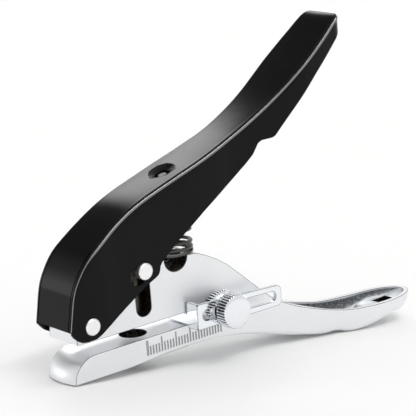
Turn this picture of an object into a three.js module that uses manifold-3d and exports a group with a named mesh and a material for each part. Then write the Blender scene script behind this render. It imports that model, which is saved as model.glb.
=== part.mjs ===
// Hand-held single-hole punch with an adjustable edge gauge.
//
// Everything is modelled in the tool's own frame first: X runs from the nose (-) to the tail (+),
// Y across the tool, Z square to the anvil, with the origin on the anvil top above the nose end of
// the ruler.  The whole tool then stands on the ground on its nose and on the lobe under its tail,
// which pitches the anvil up towards the tail.  Millimetres throughout.
import * as THREE from 'three';
import { mergeVertices } from 'three/addons/utils/BufferGeometryUtils.js';
import Module from 'manifold-3d';

const wasm = await Module();
wasm.setup();

// ---------------------------------------------------------------- driving dimensions
const BODY_WIDTH = 13.0;           // jaws and wall, across Y
const BASE_THICKNESS = 7.0;
const THROAT_GAP = 3.8;            // paper gap between anvil and upper jaw
const THROAT_END_X = 23.6;         // the throat stops short of the gauge screw
const NOSE_START_X = -16.5;        // the anvil top is flat behind this
const NOSE_SIDE_LENGTH = 7.3;      // quarter-ellipse length at the sides of the nose
const NOSE_BULGE = 1.3;            // how much further the nose reaches on the centre line
const UPPER_JAW_FRONT_X = -22.2;
const LOBE = { x: 80, depth: 18.6 };  // lowest point under the tail

const PUNCH_X = 0.7;
const PUNCH_RADIUS = 3.8;
const PUNCH_BORE_RADIUS = 3.9;
const DIE_RADIUS = 3.9;            // also the hole through the base
const BUSH_WALL = 1.2;
const PUNCH_TIP_Z = 4.2;
const PUNCH_TOP_Z = 25.5;
const WALL_TOP_Z = 23.6;

const PIN_RADIUS = 2.35;           // pivot pin and drive pin are the same stock
const PIN_END_Y = 9.2;             // both stand a little proud of the cheeks
const PIVOT = { x: -18.1, z: 8.7 };
const DRIVE_Z = 19.6;
const SQUEEZE = 16;                // degrees of handle travel
const PUNCH_STROKE = 6.2;
const DRIVE_SLOT_WIDTH = 5.2;
const DRIVE_SLOT_FLOOR_Z = 6.3;

const SHEET = 0.9;                 // pressed handle
const SEAM_WIDTH = 0.35;
const CHEEK_SLOT_RADIUS = 2.6;

const SPRING_SEAT_Z = 20.0;        // flat ledge on the wall top
const SPRING_X = 16;
const SPRING_TOP_Z = 37.6;
const SPRING_MEAN_RADIUS = 6.0;
const SPRING_WIRE_RADIUS = 0.55;
const SEATED_COIL = { x: 13.1, radius: 2.1, bottomZ: 18.2, turns: 1.5 };
const OPEN_TURNS = 5.5;
const SEAT_RING = { x: 15.8, inner: 5.4, outer: 6.7, thickness: 0.5 };
const POCKET = { x: 12.85, halfWidth: 4.05, floorZ: 16.25 };

const GAUGE = {
  screwX: 25.9,
  screwZ: 2.9,
  outerY: -11.8,                   // outer face of the slotted plate
  thickness: 1.1,
  stopX: 14.8,                     // face that the paper meets
  endX: 45.3,
  stopReachY: 1.7,
  slotHalf: 1.6,
  slotStartX: 16.6,
  slotEndX: 43.4,
  tilt: 1.8,                       // degrees, the free end hangs lower
};
const KNOB_RADIUS = 5.0;
const LOCK_NUT_RADIUS = 5.15;
const SCREW_RADIUS = 1.35;
const GAP = 0.1;                   // running clearance

const ARC_STEPS = 7;

// ---------------------------------------------------------------- colours
const satinChrome = { color: 0xe2e5e8, roughness: 0.22, metalness: 1.0 };
const polishedChrome = { color: 0xeaedf1, roughness: 0.12, metalness: 1.0 };
const blackEnamel = { color: 0x222427, roughness: 0.28, metalness: 0.0 };
const toolSteel = { color: 0x5b5550, roughness: 0.35, metalness: 1.0 };
const pinSteel = { color: 0xdcdcdc, roughness: 0.45, metalness: 1.0 };
const springSteel = { color: 0x3a3835, roughness: 0.35, metalness: 1.0 };

// ---------------------------------------------------------------- solids
function toManifold(geometry) {
  const bare = geometry.clone();
  bare.deleteAttribute('normal');
  bare.deleteAttribute('uv');
  const merged = mergeVertices(bare, 1e-5);
  return new wasm.Manifold(new wasm.Mesh({
    numProp: 3,
    vertProperties: new Float32Array(merged.attributes.position.array),
    triVerts: new Uint32Array(merged.index.array),
  }));
}

function toGeometry(solid) {
  const mesh = solid.getMesh();
  const geometry = new THREE.BufferGeometry();
  geometry.setAttribute('position', new THREE.BufferAttribute(new Float32Array(mesh.vertProperties), 3));
  geometry.setIndex(new THREE.BufferAttribute(new Uint32Array(mesh.triVerts), 1));
  geometry.computeVertexNormals();
  return geometry;
}

// A closed outline from corners [a, b] or [a, b, radius]: a radius turns the corner into an arc.
function outline(corners) {
  const points = [];
  corners.forEach((corner, i) => {
    const here = new THREE.Vector2(corner[0], corner[1]);
    const radius = corner[2] ?? 0;
    if (radius === 0) {
      points.push(here);
      return;
    }
    const before = corners[(i + corners.length - 1) % corners.length];
    const after = corners[(i + 1) % corners.length];
    const toBefore = new THREE.Vector2(before[0], before[1]).sub(here).normalize();
    const toAfter = new THREE.Vector2(after[0], after[1]).sub(here).normalize();
    const half = Math.acos(THREE.MathUtils.clamp(toBefore.dot(toAfter), -1, 1)) / 2;
    const setback = radius / Math.tan(half);
    const start = here.clone().addScaledVector(toBefore, setback);
    const end = here.clone().addScaledVector(toAfter, setback);
    const bisector = toBefore.clone().add(toAfter).normalize();
    const centre = here.clone().addScaledVector(bisector, radius / Math.sin(half));
    const from = start.clone().sub(centre).angle();
    let sweep = end.clone().sub(centre).angle() - from;
    sweep = Math.atan2(Math.sin(sweep), Math.cos(sweep));
    for (let k = 0; k <= ARC_STEPS; k += 1) {
      const angle = from + (sweep * k) / ARC_STEPS;
      points.push(new THREE.Vector2(centre.x + radius * Math.cos(angle), centre.y + radius * Math.sin(angle)));
    }
  });
  return points;
}

// An outline in the X-Z plane, extruded along Y from yMin to yMax.
function extrudeAcross(points, yMin, yMax) {
  const geometry = new THREE.ExtrudeGeometry(new THREE.Shape(points), {
    depth: yMax - yMin, bevelEnabled: false, steps: 1,
  });
  geometry.rotateX(Math.PI / 2);
  geometry.translate(0, yMax, 0);
  return toManifold(geometry);
}

// An outline in the X-Y plane, extruded along Z from zMin to zMax.
function extrudeUp(points, zMin, zMax) {
  const geometry = new THREE.ExtrudeGeometry(new THREE.Shape(points), {
    depth: zMax - zMin, bevelEnabled: false, steps: 1,
  });
  geometry.translate(0, 0, zMin);
  return toManifold(geometry);
}

// A skin over closed sections that all have the same number of points, with flat ends.
function loft(sections) {
  const count = sections[0].length;
  const positions = sections.flat().flatMap((p) => [p.x, p.y, p.z]);
  const index = [];
  for (let s = 0; s < sections.length - 1; s += 1) {
    for (let i = 0; i < count; i += 1) {
      const a = s * count + i;
      const b = s * count + ((i + 1) % count);
      index.push(a, b, a + count, b, b + count, a + count);
    }
  }
  const last = (sections.length - 1) * count;
  for (let i = 1; i < count - 1; i += 1) {
    index.push(0, i + 1, i);
    index.push(last, last + i, last + i + 1);
  }
  const geometry = new THREE.BufferGeometry();
  geometry.setAttribute('position', new THREE.Float32BufferAttribute(positions, 3));
  geometry.setIndex(index);
  return toManifold(geometry);
}

// A round bar along Y or along Z.
function barAcross(radius, x, z, yMin, yMax, sides = 36) {
  const geometry = new THREE.CylinderGeometry(radius, radius, yMax - yMin, sides);
  geometry.translate(x, (yMin + yMax) / 2, z);
  return toManifold(geometry);
}

function barUp(radius, x, y, zMin, zMax, sides = 40) {
  const geometry = new THREE.CylinderGeometry(radius, radius, zMax - zMin, sides);
  geometry.rotateX(Math.PI / 2);
  geometry.translate(x, y, (zMin + zMax) / 2);
  return toManifold(geometry);
}

// A turned piece: its profile [radius, along] starts and ends on the axis.
function turned(profile, sides = 36) {
  return new THREE.LatheGeometry(profile.map(([r, h]) => new THREE.Vector2(r, h)), sides);
}

function smooth(t) {
  const clamped = THREE.MathUtils.clamp(t, 0, 1);
  return clamped * clamped * (3 - 2 * clamped);
}

// Smooth curve through [a, b] points, as an interpolating function of a.
function through(points) {
  return (a) => {
    let i = 0;
    while (i < points.length - 2 && a > points[i + 1][0]) {
      i += 1;
    }
    const slope = (k) => {
      const lo = Math.max(k - 1, 0);
      const hi = Math.min(k + 1, points.length - 1);
      return (points[hi][1] - points[lo][1]) / (points[hi][0] - points[lo][0]);
    };
    const span = points[i + 1][0] - points[i][0];
    const t = THREE.MathUtils.clamp((a - points[i][0]) / span, 0, 1);
    const h00 = (1 + 2 * t) * (1 - t) * (1 - t);
    const h10 = t * (1 - t) * (1 - t);
    const h01 = t * t * (3 - 2 * t);
    const h11 = t * t * (t - 1);
    return h00 * points[i][1] + h10 * span * slope(i) + h01 * points[i + 1][1] + h11 * span * slope(i + 1);
  };
}

// ---------------------------------------------------------------- lower frame: one casting
const TAIL_END_X = 104.4;
const TAIL_START_X = 14.5;         // ahead of this the base is a plain bar
const TAIL_ROUND_X = 90;           // the plan closes in a half ellipse behind this
const EDGE_RADIUS = 1.75;          // lower edges of the grip part of the tail

const tailTop = through([
  [38, 7.3], [41.4, 4.2], [45, 1.1], [48.3, -1.3], [54, -4.3], [58, -5.95], [64, -8.1], [70, -9.95],
  [76, -11.2], [82, -11.85], [90, -12.35], [98, -12.45], [106, -12.6],
]);
const tailBottom = through([
  [10, -6.05], [14.5, -6.05], [20, -6.1], [27, -6.75], [33, -7.75], [38.7, -9.2], [46.3, -11.5],
  [52.7, -13.5], [59.3, -15.2], [63.8, -16.3], [67.2, -16.85], [70, -16.8], [72.1, -17.3],
  [74.6, -18.1], [77, -18.5], [LOBE.x, -LOBE.depth], [84, -18.35], [88, -17.8], [91.8, -17.1],
  [94, -16.6], [96.8, -17.1], [99.5, -16.6], [102, -15.4], [105, -13.6],
]);
const tailHalfWidth = through([
  [10, 6.5], [46, 6.5], [60, 6.55], [67, 6.55], [71, 6.6], [76, 7.15], [82, 7.6], [90, 7.55], [96, 7.4],
]);

function tailHalfWidthAt(x) {
  if (x < TAIL_ROUND_X) {
    return tailHalfWidth(x);
  }
  const t = (x - TAIL_ROUND_X) / (TAIL_END_X - TAIL_ROUND_X);
  return tailHalfWidth(TAIL_ROUND_X) * Math.sqrt(Math.max(1 - t * t, 0));
}

// A U-shaped section across the tail: square rim corners at `top`, rounded corners at `bottom`.
function tailSection(x, half, top, bottom, radius, steps) {
  const points = [new THREE.Vector3(x, half, top), new THREE.Vector3(x, -half, top)];
  for (const side of [-1, 1]) {
    for (let k = 0; k <= steps; k += 1) {
      const a = (side < 0 ? Math.PI : 1.5 * Math.PI) + (Math.PI / 2) * (k / steps);
      points.push(new THREE.Vector3(
        x,
        side * (half - radius) + radius * Math.cos(a),
        bottom + radius + radius * Math.sin(a),
      ));
    }
  }
  return points;
}

function tailBody() {
  const hiddenTop = -3;            // the wall covers the front of the tail above this
  const stations = [];
  for (let x = TAIL_START_X; x < TAIL_ROUND_X; x += 2.2) {
    stations.push(x);
  }
  for (const t of [0, 0.22, 0.42, 0.58, 0.71, 0.82, 0.9, 0.96, 0.993]) {
    stations.push(TAIL_ROUND_X + t * (TAIL_END_X - TAIL_ROUND_X));
  }
  return loft(stations.map((x) => {
    const half = Math.max(tailHalfWidthAt(x), 0.4);
    const top = x < 46 ? Math.min(tailTop(x), hiddenTop) : tailTop(x);
    const bottom = tailBottom(x);
    const radius = Math.min(0.15 + EDGE_RADIUS * smooth((x - 18) / 40), half * 0.9, (top - bottom) * 0.8);
    return tailSection(x, half, top, bottom, radius, 6);
  }));
}

// The spoon-shaped hollow in the tail, open upwards, following the rim at an even wall.
function tailHollow() {
  const rimWall = 1.4;
  const floorWall = 1.9;
  const start = 56;
  const end = TAIL_END_X - rimWall;
  const roundX = TAIL_ROUND_X - 0.5;
  const steps = 20;
  const sections = [];
  for (let s = 0; s <= steps; s += 1) {
    const u = 0.5 - 0.5 * Math.cos((Math.PI * (s + 0.35)) / (steps + 0.7));
    const x = start + u * (end - start);
    const opening = smooth((x - start) / 14);
    const closing = Math.sqrt(Math.max(1 - Math.max((x - roundX) / (end - roundX), 0) ** 2, 0));
    const widest = tailHalfWidthAt(Math.min(x, roundX)) - rimWall;
    const half = Math.max(widest * Math.sqrt(opening) * closing, 0.35);
    const depth = Math.max((tailTop(x) - tailBottom(x) - floorWall) * opening * (0.55 + 0.45 * closing), 0.3);
    const radius = Math.min(half, depth) * 0.8;
    sections.push(tailSection(x, half, tailTop(x) + 3, tailTop(x) - depth, radius, 4));
  }
  return loft(sections);
}

// Low oval boss standing on the floor of the hollow.
function hollowBoss() {
  const boss = new THREE.SphereGeometry(1, 40, 20);
  boss.rotateX(Math.PI / 2);
  boss.scale(4.9, 3.9, 3.3);
  boss.translate(88.2, 0, -16.6);
  const dome = toManifold(boss);
  return dome.subtract(extrudeAcross(outline([[80, -25], [97, -25], [97, -16.7], [80, -16.9]]), -6, 6));
}

// Rounded nose: a quarter ellipse in side view that reaches furthest on the centre line.
function noseBody() {
  const half = BODY_WIDTH / 2;
  const planRadius = (half * half + NOSE_BULGE * NOSE_BULGE) / (2 * NOSE_BULGE);
  const sections = [];
  for (let s = 0; s <= 16; s += 1) {
    const y = half - (BODY_WIDTH * s) / 16;
    const reach = NOSE_SIDE_LENGTH + Math.sqrt(planRadius * planRadius - y * y) - (planRadius - NOSE_BULGE);
    const points = [
      new THREE.Vector3(-8, y, -BASE_THICKNESS),
      new THREE.Vector3(-8, y, 0),
    ];
    for (let k = 0; k <= 12; k += 1) {
      const a = (Math.PI / 2) * (k / 12);
      const x = NOSE_START_X - reach * Math.sin(a);
      points.push(new THREE.Vector3(x, y, -BASE_THICKNESS * (1 - Math.cos(a))));
    }
    sections.push(points);
  }
  return loft(sections);
}

// Base from the nose to where the tail begins, the throat, the upper jaw and the domed wall.
function jawsAndWall() {
  const wallFoot = [50, 48, 46, 44, 42].map((x) => [x, tailTop(x)]);
  const ceiling = THROAT_GAP;
  const corners = [
    [-10, -BASE_THICKNESS],
    [-6, -BASE_THICKNESS],
    [1, -6.6],
    [8, -6.15],
    [TAIL_START_X + 0.4, -6.05],
    [TAIL_START_X + 0.4, -3.2],
    [50, -9.2],
    ...wallFoot,
    [38.0, 7.35],
    [34.5, 10.5],
    [30.9, 13.75],
    [27.2, 16.35, 6],
    [23.3, 18.45, 6],
    [19.8, SPRING_SEAT_Z - 0.1, 5],
    [17, SPRING_SEAT_Z],
    [9.6, SPRING_SEAT_Z, 0.5],
    [8.4, WALL_TOP_Z, 1.2],
    [-6.5, WALL_TOP_Z, 3],
    [PIVOT.x - 0.2, 13.2, 4],
    [-22.0, 12.9, 3.4],
    [UPPER_JAW_FRONT_X, 9],
    [UPPER_JAW_FRONT_X, ceiling, 0.3],
    [THROAT_END_X, ceiling, 0.5],
    [THROAT_END_X, 0, 0.5],
    [-10, 0],
  ];
  return extrudeAcross(outline(corners), -BODY_WIDTH / 2, BODY_WIDTH / 2);
}

// A slot with a rounded floor, open at the top.
function roundFlooredSlot(x, half, floor, top) {
  return outline([[x - half, top], [x - half, floor, half - 0.1], [x + half, floor, half - 0.1], [x + half, top]]);
}

// One-millimetre scale on the near side of the base; every fifth mark is longer.
function rulerMark(number) {
  const long = number % 5 === 0;
  const halfWidth = number === 0 ? 0.28 : 0.14;
  const x = PUNCH_X + number;
  const geometry = new THREE.BoxGeometry(2 * halfWidth, 0.3, long ? 4.1 : 2.4);
  geometry.translate(x, -BODY_WIDTH / 2, long ? -2.95 : -3.8);
  return toManifold(geometry);
}

function lowerFrame() {
  const half = BODY_WIDTH / 2;
  const driveSlot = roundFlooredSlot(PUNCH_X, DRIVE_SLOT_WIDTH / 2, DRIVE_SLOT_FLOOR_Z, WALL_TOP_Z + 3);
  const pocket = roundFlooredSlot(POCKET.x, POCKET.halfWidth, POCKET.floorZ, SPRING_SEAT_Z + 4);
  let solid = noseBody().add(jawsAndWall()).add(tailBody());
  solid = solid.subtract(tailHollow()).add(hollowBoss());
  solid = solid.subtract(hangRecess());
  solid = solid.subtract(extrudeAcross(driveSlot, -half - 1, half + 1));
  solid = solid.subtract(extrudeAcross(pocket, -half - 1, half + 1));
  solid = solid.subtract(barUp(PUNCH_BORE_RADIUS, PUNCH_X, 0, 1, WALL_TOP_Z + 2));
  solid = solid.subtract(barUp(DIE_RADIUS, PUNCH_X, 0, -3, 1));
  solid = solid.subtract(barUp(DIE_RADIUS + BUSH_WALL + 0.2, PUNCH_X, 0, -BASE_THICKNESS - 1, -2.2));
  solid = solid.subtract(barAcross(PIN_RADIUS + GAP, PIVOT.x, PIVOT.z, -half - 1, half + 1));
  solid = solid.subtract(barAcross(SCREW_RADIUS + GAP, GAUGE.screwX, GAUGE.screwZ, -half - 1, half + 1, 24));
  for (let mark = 0; mark <= 26; mark += 1) {
    solid = solid.subtract(rulerMark(mark));
  }
  return toGeometry(solid);
}

// Small rectangular recess in the floor of the hollow near the tail end.
function hangRecess() {
  const geometry = new THREE.BoxGeometry(5.4, 5.6, 3);
  geometry.translate(95.9, 0, -14.7);
  return toManifold(geometry);
}

// ---------------------------------------------------------------- die, pins and punch
function dieBush() {
  const outer = DIE_RADIUS + BUSH_WALL;
  const bottom = -6.2;
  const top = -2.4;
  const profile = [[DIE_RADIUS, bottom], [outer, bottom], [outer, top], [DIE_RADIUS, top], [DIE_RADIUS, bottom]];
  const geometry = turned(profile, 40);
  geometry.rotateX(Math.PI / 2);
  geometry.translate(PUNCH_X, 0, 0);
  return geometry;
}

// Plain hardened pin with chamfered ends, lying along Y.
function crossPin() {
  const end = PIN_END_Y;
  const chamfer = 0.3;
  return turned([
    [0, -end], [PIN_RADIUS - chamfer, -end], [PIN_RADIUS, -end + chamfer],
    [PIN_RADIUS, end - chamfer], [PIN_RADIUS - chamfer, end], [0, end],
  ]);
}

// Solid punch with a cupped cutting end, bored across for the drive pin.
function punch() {
  const profile = [
    [0, PUNCH_TIP_Z + 1.5], [PUNCH_RADIUS - 0.5, PUNCH_TIP_Z + 0.5], [PUNCH_RADIUS, PUNCH_TIP_Z],
    [PUNCH_RADIUS, PUNCH_TOP_Z - 0.6], [PUNCH_RADIUS - 0.6, PUNCH_TOP_Z], [0, PUNCH_TOP_Z],
  ];
  const blank = turned(profile, 40);
  blank.rotateX(Math.PI / 2);
  blank.translate(PUNCH_X, 0, 0);
  const solid = toManifold(blank).subtract(barAcross(PIN_RADIUS + GAP, PUNCH_X, DRIVE_Z, -6, 6));
  return toGeometry(solid);
}

// ---------------------------------------------------------------- pressed upper handle
const handleTopPoints = [
  [-25.2, 8.6], [-24.6, 11.8], [-23.2, 18.2], [-21.2, 22.4], [-18, 26.6], [-14, 30.0], [-6, 35.3],
  [2, 39.1], [14, 43.1], [26, 46.9], [38, 51.5], [50, 57.9], [62, 66.2], [70, 72.2], [77.2, 77.7],
];

function handleTopLine(offset, from, to, steps) {
  const curve = new THREE.SplineCurve(handleTopPoints.map(([x, z]) => new THREE.Vector2(x, z)));
  const points = [];
  for (let k = 0; k <= steps; k += 1) {
    const t = from + ((to - from) * k) / steps;
    const point = curve.getPoint(t);
    const tangent = curve.getTangent(t);
    points.push([point.x + tangent.y * offset, point.y - tangent.x * offset]);
  }
  return points;
}

const handleHalfWidth = through([
  [-30, 8.35], [-23, 8.4], [-18, 8.6], [-13, 8.55], [-8, 8.15], [-2, 7.98], [10, 7.92], [20, 7.92],
  [28, 7.62], [35, 7.15], [42, 7.3], [50, 7.87], [58, 8.75], [62, 9.05], [66, 8.96], [70, 8.65], [75, 8.0],
]);

function handlePlan(inset) {
  const cornerX = 78.6 - inset;
  const cornerHalf = 7.7 - inset;
  const near = [];
  for (let x = -32; x <= 74; x += 3) {
    near.push([x, -(handleHalfWidth(x) - inset)]);
  }
  const far = near.map(([x, y]) => [x, -y]).reverse();
  const corner = 2.6 - inset / 2;
  return extrudeUp(outline([...near, [cornerX, -cornerHalf, corner], [cornerX, cornerHalf, corner], ...far]), -20, 100);
}

function handleOuterOutline() {
  return outline([
    ...handleTopLine(0, 0, 1, 48),
    [78.6, 76.6, 1.0], [78.1, 73.2, 1.2], [72.6, 68.2], [66.1, 62.4], [60.1, 56.5], [53.9, 50.7],
    [50.1, 47.0, 1.2], [44.6, 47.1, 1.3], [42.9, 43.9], [39.3, 41.2], [31.3, 36.0], [22.6, 31.1],
    [12.8, 24.8], [6.7, 20.1, 1.0], [6.1, 17.3, 1.2], [1.8, 15.5], [-16.8, 4.9, 3], [-21.3, 4.8, 2.6],
  ]);
}

function handleInnerOutline() {
  return outline([
    ...handleTopLine(SHEET, 0, 0.985, 44),
    [77.3, 75.4, 0.5], [77.0, 71.0], [90, 40], [40, -10], [-22, -10], [-25.2 + SHEET, 0],
  ]);
}

// Thin gap between the folded front flap and each cheek, from the bottom up to the first fold.
function frontSeam(side) {
  const firstFold = 0.3;           // fraction of the top line
  const outside = handleTopLine(-1.2, 0, firstFold, 12);
  const inside = handleTopLine(SHEET * 0.75, 0, firstFold, 12).reverse();
  const points = outline([[-26.6, 6], ...outside, ...inside, [-24.5, 6]]);
  const middle = side * (8.35 - SHEET - SEAM_WIDTH / 2);
  return extrudeAcross(points, middle - SEAM_WIDTH / 2, middle + SEAM_WIDTH / 2);
}

// The drive pin goes straight down while the cheeks swing, so each cheek has a short slot that
// follows the pin's path as seen from the handle.
function cheekSlot() {
  const path = [];
  for (let k = 0; k <= 6; k += 1) {
    const turn = (THREE.MathUtils.degToRad(SQUEEZE) * k) / 6;
    const dx = PUNCH_X - PIVOT.x;
    const dz = DRIVE_Z - (PUNCH_STROKE * k) / 6 - PIVOT.z;
    path.push(new THREE.Vector2(
      PIVOT.x + dx * Math.cos(turn) - dz * Math.sin(turn),
      PIVOT.z + dx * Math.sin(turn) + dz * Math.cos(turn),
    ));
  }
  const along = path[6].clone().sub(path[0]).angle();
  const points = [];
  for (let k = 0; k <= 12; k += 1) {
    const a = along + Math.PI / 2 + (Math.PI * k) / 12;
    points.push(new THREE.Vector2(
      path[0].x + CHEEK_SLOT_RADIUS * Math.cos(a),
      path[0].y + CHEEK_SLOT_RADIUS * Math.sin(a),
    ));
  }
  for (let k = 0; k <= 12; k += 1) {
    const a = along - Math.PI / 2 + (Math.PI * k) / 12;
    points.push(new THREE.Vector2(
      path[6].x + CHEEK_SLOT_RADIUS * Math.cos(a),
      path[6].y + CHEEK_SLOT_RADIUS * Math.sin(a),
    ));
  }
  return points;
}

function upperHandle() {
  const outer = extrudeAcross(handleOuterOutline(), -12, 12).intersect(handlePlan(0));
  const inner = extrudeAcross(handleInnerOutline(), -12, 12).intersect(handlePlan(SHEET));
  let solid = outer.subtract(inner);
  solid = solid.subtract(frontSeam(-1)).subtract(frontSeam(1));
  solid = solid.subtract(extrudeAcross(cheekSlot(), -12, 12));
  solid = solid.subtract(barAcross(PIN_RADIUS + GAP, PIVOT.x, PIVOT.z, -12, 12));
  solid = solid.subtract(studHole());
  return toGeometry(solid);
}

// ---------------------------------------------------------------- spring, its seat and its stud
const STUD = { x: 15.6, z: 41.9, lean: -17 };   // lean in degrees, square to the handle's top

function leaning(geometry) {
  geometry.rotateX(Math.PI / 2);
  geometry.rotateY(THREE.MathUtils.degToRad(STUD.lean));
  return geometry;
}

// Conical dimple through the top sheet, around the riveted end of the stud.
function studHole() {
  const geometry = leaning(new THREE.CylinderGeometry(4.3, 2.0, 3.4, 32));
  geometry.translate(STUD.x - 0.4, 0, STUD.z + 1.5);
  return toManifold(geometry);
}

// Guide stud riveted into the top sheet; its shank centres the top of the spring.
function springStud() {
  const geometry = leaning(turned([
    [0, -7.0], [2.6, -7.0], [3.0, -6.4], [3.0, -1.6], [4.4, -1.6], [4.4, -0.85],
    [1.7, -0.85], [1.7, 0.2], [1.2, 0.55], [0, 0.6],
  ], 32));
  geometry.translate(STUD.x, 0, STUD.z);
  return geometry;
}

// Flat ring on the ledge of the wall, under the first open coil.
function springSeat() {
  const top = SEAT_RING.thickness;
  const profile = [
    [SEAT_RING.inner, 0], [SEAT_RING.outer, 0], [SEAT_RING.outer, top], [SEAT_RING.inner, top],
    [SEAT_RING.inner, 0],
  ];
  const geometry = turned(profile, 40);
  geometry.rotateX(Math.PI / 2);
  geometry.translate(SEAT_RING.x, 0, SPRING_SEAT_Z + 0.1);
  return geometry;
}

// Small closed coils sit in the pocket, half a turn opens out, then the wide coils rise.
class SpringLine extends THREE.Curve {
  getPoint(t, target = new THREE.Vector3()) {
    const pitchClosed = 1.12;
    const openStart = SEATED_COIL.turns + 0.5;
    const turn = t * (openStart + OPEN_TURNS);
    const opening = THREE.MathUtils.clamp((turn - SEATED_COIL.turns) / 0.5, 0, 1);
    const rising = THREE.MathUtils.clamp((turn - openStart) / OPEN_TURNS, 0, 1);
    const spread = smooth((opening - 0.35) / 0.65);
    const closedTop = SEATED_COIL.bottomZ + pitchClosed * SEATED_COIL.turns;
    const openBottom = SPRING_SEAT_Z + SEAT_RING.thickness + SPRING_WIRE_RADIUS + 0.25;
    const closedZ = SEATED_COIL.bottomZ + pitchClosed * Math.min(turn, SEATED_COIL.turns);
    const openEase = rising - 0.1 * Math.sin(2 * Math.PI * rising);
    const z = closedZ + (openBottom - closedTop) * Math.min(opening / 0.75, 1)
      + (SPRING_TOP_Z - openBottom) * openEase;
    const radius = THREE.MathUtils.lerp(SEATED_COIL.radius, SPRING_MEAN_RADIUS, spread);
    const x = THREE.MathUtils.lerp(SEATED_COIL.x, SPRING_X, spread);
    const angle = Math.PI - 2 * Math.PI * (turn - SEATED_COIL.turns);
    return target.set(x + radius * Math.cos(angle), radius * Math.sin(angle), z);
  }
}

function returnSpring() {
  const section = new THREE.Shape();
  section.absarc(0, 0, SPRING_WIRE_RADIUS, 0, 2 * Math.PI);
  return new THREE.ExtrudeGeometry(section, {
    steps: 190, curveSegments: 4, extrudePath: new SpringLine(),
  });
}

// ---------------------------------------------------------------- edge gauge
function gaugePlate() {
  const inner = GAUGE.outerY + GAUGE.thickness;
  const faceY = -BODY_WIDTH / 2;
  const stopLow = -0.05;
  const stopHigh = 3.05;
  const plateLow = -0.85;
  const plateHigh = 6.45;
  const side = extrudeAcross(outline([
    [GAUGE.stopX, plateLow, 0.5], [GAUGE.endX, -0.1, 1.4], [GAUGE.endX, 5.85, 1.6], [GAUGE.stopX, plateHigh, 0.8],
  ]), GAUGE.outerY, inner);
  const slotLow = GAUGE.screwZ - GAUGE.slotHalf;
  const slotHigh = GAUGE.screwZ + GAUGE.slotHalf;
  const round = GAUGE.slotHalf - 0.05;
  const slot = extrudeAcross(outline([
    [GAUGE.slotStartX, slotLow, round], [GAUGE.slotEndX, slotLow, round],
    [GAUGE.slotEndX, slotHigh, round], [GAUGE.slotStartX, slotHigh, round],
  ]), GAUGE.outerY - 1, inner + 1);
  const arm = (yMin, yMax, zMin, zMax) => extrudeUp(outline([
    [GAUGE.stopX, yMin], [GAUGE.stopX + GAUGE.thickness, yMin],
    [GAUGE.stopX + GAUGE.thickness, yMax], [GAUGE.stopX, yMax],
  ]), zMin, zMax);
  const bend = arm(GAUGE.outerY + 0.3, faceY - 0.6, plateLow, plateHigh);
  const stop = arm(faceY - 0.7, GAUGE.stopReachY, stopLow, stopHigh);
  return toGeometry(side.subtract(slot).add(bend).add(stop));
}

// Knurled disc lying along Z from 0: fine ribs around the rim, and a shallow dome on top.
function knurledDisc(radius, thickness, ribs, dome) {
  const rim = [];
  for (let k = 0; k < ribs * 2; k += 1) {
    const r = k % 2 === 0 ? radius : radius - 0.28;
    const a = (Math.PI * k) / ribs;
    rim.push(new THREE.Vector2(r * Math.cos(a), r * Math.sin(a)));
  }
  const disc = extrudeUp(rim, 0, thickness);
  if (dome === 0) {
    return disc;
  }
  const cap = turned([
    [0, -0.5], [radius - 0.35, -0.5], [radius - 0.35, 0], [radius - 0.6, dome * 0.35],
    [radius * 0.6, dome * 0.8], [0, dome],
  ]);
  cap.rotateX(Math.PI / 2);
  cap.translate(0, 0, thickness);
  return disc.add(toManifold(cap));
}

function thumbKnob() {
  const socketDepth = 2.4;
  const solid = knurledDisc(KNOB_RADIUS, 3.8, 36, 0.6);
  const geometry = toGeometry(solid.subtract(barUp(SCREW_RADIUS + 0.1, 0, 0, -1, socketDepth, 20)));
  geometry.rotateX(Math.PI / 2);
  return geometry;
}

function lockNut() {
  const body = knurledDisc(LOCK_NUT_RADIUS, 2.6, 36, 0);
  const collar = barUp(LOCK_NUT_RADIUS - 1.0, 0, 0, 2.4, 3.6, 32);
  const bore = barUp(SCREW_RADIUS + GAP, 0, 0, -1, 5, 20);
  const geometry = toGeometry(body.add(collar).subtract(bore));
  geometry.rotateX(Math.PI / 2);
  return geometry;
}

// Threaded shank of the thumb screw, reaching through the wall.
function screwShank() {
  const length = 16.6;
  return turned([
    [0, 0], [SCREW_RADIUS - 0.2, 0], [SCREW_RADIUS, 0.2], [SCREW_RADIUS, length], [0, length],
  ], 20);
}

// ---------------------------------------------------------------- assembly
function piece(name, geometry, finish) {
  const mesh = new THREE.Mesh(geometry, new THREE.MeshStandardMaterial(finish));
  mesh.name = name;
  return mesh;
}

const tool = new THREE.Group();
tool.add(piece('lower_frame', lowerFrame(), satinChrome));
tool.add(piece('die_bush', dieBush(), toolSteel));
tool.add(piece('punch', punch(), toolSteel));
tool.add(piece('upper_handle', upperHandle(), blackEnamel));
tool.add(piece('spring_seat', springSeat(), pinSteel));
tool.add(piece('return_spring', returnSpring(), springSteel));
tool.add(piece('spring_stud', springStud(), pinSteel));

const pivotPin = piece('pivot_pin', crossPin(), pinSteel);
pivotPin.position.set(PIVOT.x, 0, PIVOT.z);
tool.add(pivotPin);

const drivePin = piece('drive_pin', crossPin(), pinSteel);
drivePin.position.set(PUNCH_X, 0, DRIVE_Z);
tool.add(drivePin);

const gauge = new THREE.Group();
const plate = piece('gauge_plate', gaugePlate(), polishedChrome);
plate.position.set(-GAUGE.screwX, 0, -GAUGE.screwZ);
gauge.add(plate);
gauge.position.set(GAUGE.screwX, 0, GAUGE.screwZ);
gauge.rotation.y = THREE.MathUtils.degToRad(GAUGE.tilt);
tool.add(gauge);

const knob = piece('thumb_knob', thumbKnob(), polishedChrome);
knob.position.set(GAUGE.screwX, GAUGE.outerY - 0.2, GAUGE.screwZ);
tool.add(knob);

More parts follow.
